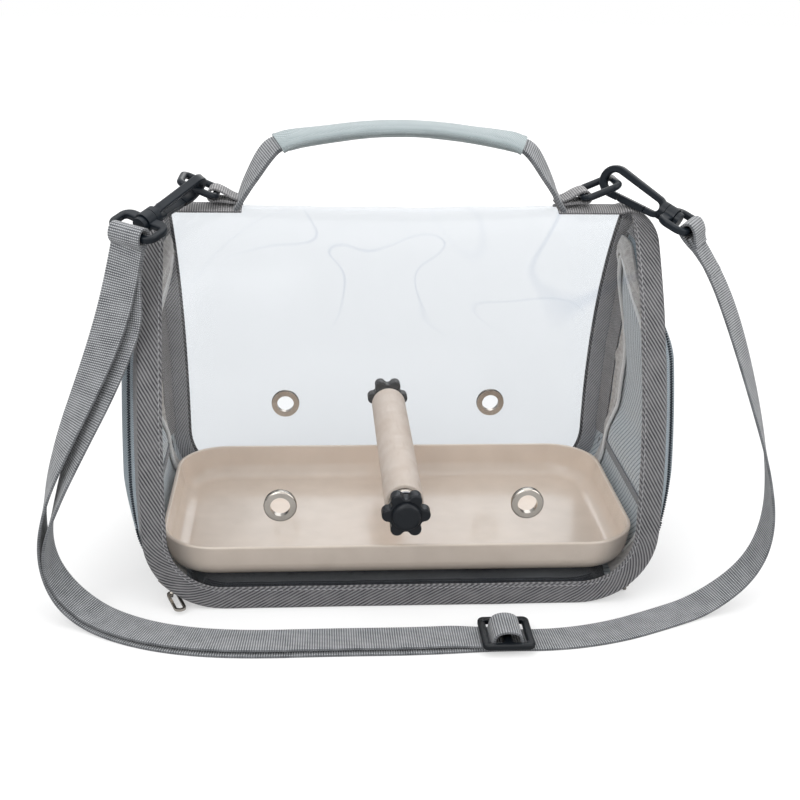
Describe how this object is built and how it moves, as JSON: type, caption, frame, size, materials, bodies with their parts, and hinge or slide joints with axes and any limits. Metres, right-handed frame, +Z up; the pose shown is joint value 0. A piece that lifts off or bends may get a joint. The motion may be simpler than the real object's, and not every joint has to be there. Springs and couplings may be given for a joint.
{
  "type": "bird travel carrier",
  "caption": "Soft carrier for a small bird: clear wrap, two zipped mesh end doors, deep tray, clamped wooden perch, padded handle and a clip-on shoulder strap.",
  "frame": {"origin": "middle of the base of the bag, where it stands on a surface", "axes": "+X to the bag's right end seen from the front, +Y to its back, +Z up; the front faces -Y"},
  "size_m": [0.3895, 0.2186, 0.248],
  "materials": {
    "clear_sheet": "clear flexible sheet, gloss",
    "edge_webbing": "herringbone webbing",
    "base_fabric": "plain woven fabric",
    "board": "dark cloth over a stiff board",
    "tray": "smooth glossy",
    "wood": "pale sanded",
    "dark_plastic": "moulded satin",
    "hook_plastic": "moulded satin",
    "nickel": "plated",
    "steel": "plain",
    "zip_tape": "woven tape",
    "zip_coil": "nylon coil",
    "mesh": "air mesh",
    "binding": "soft binding",
    "piping": "piping cord",
    "strap": "ribbed webbing",
    "grip": "padded cloth"
  },
  "bodies": {
    "bag": {"clear_wrap": "clear_sheet", "front_edge_webbing": "edge_webbing", "back_edge_webbing": "edge_webbing", "base_gusset": "base_fabric", "base_board": "board", "perch": "wood", "right_zip_tape": "zip_tape", "right_zip_coil": "zip_coil", "right_ridge_tab": "strap", "right_ring_loop": "strap", "right_strap_ring": "hook_plastic", "left_zip_tape": "zip_tape", "left_zip_coil": "zip_coil", "left_ridge_tab": "strap", "left_ring_loop": "strap", "left_strap_ring": "hook_plastic", "front_left_eyelet": "nickel", "front_middle_eyelet": "nickel", "front_right_eyelet": "nickel", "back_left_eyelet": "nickel", "back_middle_eyelet": "nickel", "back_right_eyelet": "nickel", "strap_main": "strap", "strap_return": "strap", "adjuster_loop": "strap", "strap_adjuster": "hook_plastic"},
    "tray": {"tray": "tray"},
    "handle": {"handle_strap": "strap", "handle_grip": "grip"},
    "right_door": {"right_door_tape": "zip_tape", "right_door_coil": "zip_coil", "right_door_mesh": "mesh", "right_door_binding": "binding", "right_door_piping": "piping", "right_door_sill": "edge_webbing"},
    "right_slider": {"right_zip_slider": "nickel"},
    "right_pull": {"right_zip_pull": "nickel"},
    "right_ring": {"right_side_ring": "hook_plastic"},
    "right_hook": {"right_hook": "hook_plastic"},
    "right_gate": {"right_hook_gate": "hook_plastic"},
    "left_door": {"left_door_tape": "zip_tape", "left_door_coil": "zip_coil", "left_door_mesh": "mesh", "left_door_binding": "binding", "left_door_piping": "piping", "left_door_sill": "edge_webbing"},
    "left_slider": {"left_zip_slider": "nickel"},
    "left_pull": {"left_zip_pull": "nickel"},
    "left_ring": {"left_side_ring": "hook_plastic"},
    "left_hook": {"left_hook": "hook_plastic"},
    "left_gate": {"left_hook_gate": "hook_plastic"},
    "front_knob_seat": {"front_knob_washer": "steel"},
    "front_knob": {"front_star_knob": "dark_plastic", "front_knob_stud": "steel"},
    "back_knob_seat": {"back_knob_washer": "steel"},
    "back_knob": {"back_star_knob": "dark_plastic", "back_knob_stud": "steel"}
  },
  "joints": [
    {"name": "right_door_hinge", "type": "hinge", "parent": "bag", "child": "right_door", "pos_m": [0.138, 0, 0.0426], "axis": [0, 1, 0], "range_deg": [0, 100]},
    {"name": "right_zip_run", "type": "hinge", "parent": "bag", "child": "right_slider", "pos_m": [0.096, 0, 0.042], "axis": [0, -1, 0], "range_deg": [0, 38]},
    {"name": "right_pull_swing", "type": "hinge", "parent": "right_slider", "child": "right_pull", "pos_m": [0.12518, -0.062, 0.003], "axis": [-1, 0, 0], "range_deg": [0, 50]},
    {"name": "right_ring_swing", "type": "hinge", "parent": "bag", "child": "right_ring", "pos_m": [0.0985, 0, 0.21], "axis": [0, 1, 0], "range_deg": [-3, 3]},
    {"name": "right_hook_turn", "type": "hinge", "parent": "bag", "child": "right_hook", "pos_m": [0.11689, -0.00033, 0.21738], "axis": [0.7326, -0.5569, -0.3914], "range_deg": [-8, 8]},
    {"name": "right_gate_spring", "type": "hinge", "parent": "right_hook", "child": "right_gate", "pos_m": [0.13106, -0.01175, 0.20599], "axis": [0.5519, 0.8225, -0.1374], "range_deg": [0, 20], "stiffness_Nm_per_rad": 0.02},
    {"name": "left_door_hinge", "type": "hinge", "parent": "bag", "child": "left_door", "pos_m": [-0.138, 0, 0.0426], "axis": [0, -1, 0], "range_deg": [0, 100]},
    {"name": "left_zip_run", "type": "hinge", "parent": "bag", "child": "left_slider", "pos_m": [-0.096, 0, 0.042], "axis": [0, 1, 0], "range_deg": [0, 38]},
    {"name": "left_pull_swing", "type": "hinge", "parent": "left_slider", "child": "left_pull", "pos_m": [-0.12518, -0.062, 0.003], "axis": [0.9397, 0.342, 0], "range_deg": [0, 50]},
    {"name": "left_ring_swing", "type": "hinge", "parent": "bag", "child": "left_ring", "pos_m": [-0.0985, 0, 0.21], "axis": [0, -1, 0], "range_deg": [-3, 3]},
    {"name": "left_hook_turn", "type": "hinge", "parent": "bag", "child": "left_hook", "pos_m": [-0.10994, -0.01276, 0.21432], "axis": [-0.5806, -0.7607, -0.2903], "range_deg": [-8, 8]},
    {"name": "left_gate_spring", "type": "hinge", "parent": "left_hook", "child": "left_gate", "pos_m": [-0.12336, -0.02704, 0.20554], "axis": [0.7456, -0.3534, -0.5651], "range_deg": [0, 20], "stiffness_Nm_per_rad": 0.02},
    {"name": "front_knob_unscrew", "type": "slide", "parent": "bag", "child": "front_knob_seat", "axis": [0, -1, 0], "range_m": [0, 0.00999]},
    {"name": "front_knob_spin", "type": "hinge", "parent": "front_knob_seat", "child": "front_knob", "pos_m": [0, 0, 0.0606], "axis": [0, -1, 0], "range_deg": [0, 3600]},
    {"name": "back_knob_unscrew", "type": "slide", "parent": "bag", "child": "back_knob_seat", "axis": [0, 1, 0], "range_m": [0, 0.00999]},
    {"name": "back_knob_spin", "type": "hinge", "parent": "back_knob_seat", "child": "back_knob", "pos_m": [0, 0, 0.0606], "axis": [0, 1, 0], "range_deg": [0, 3600]},
    {"name": "handle_fold", "type": "hinge", "parent": "bag", "child": "handle", "pos_m": [0, 0, 0.2148], "axis": [1, 0, 0], "range_deg": [-70, 70]},
    {"name": "tray_lift", "type": "slide", "parent": "bag", "child": "tray", "axis": [0, 0, 1], "range_m": [0, 0.015]}
  ],
  "couplings": [
    {"joint": "front_knob_spin", "follows": "front_knob_unscrew", "rad_per_m": 6283.2},
    {"joint": "back_knob_spin", "follows": "back_knob_unscrew", "rad_per_m": 6283.2}
  ]
}
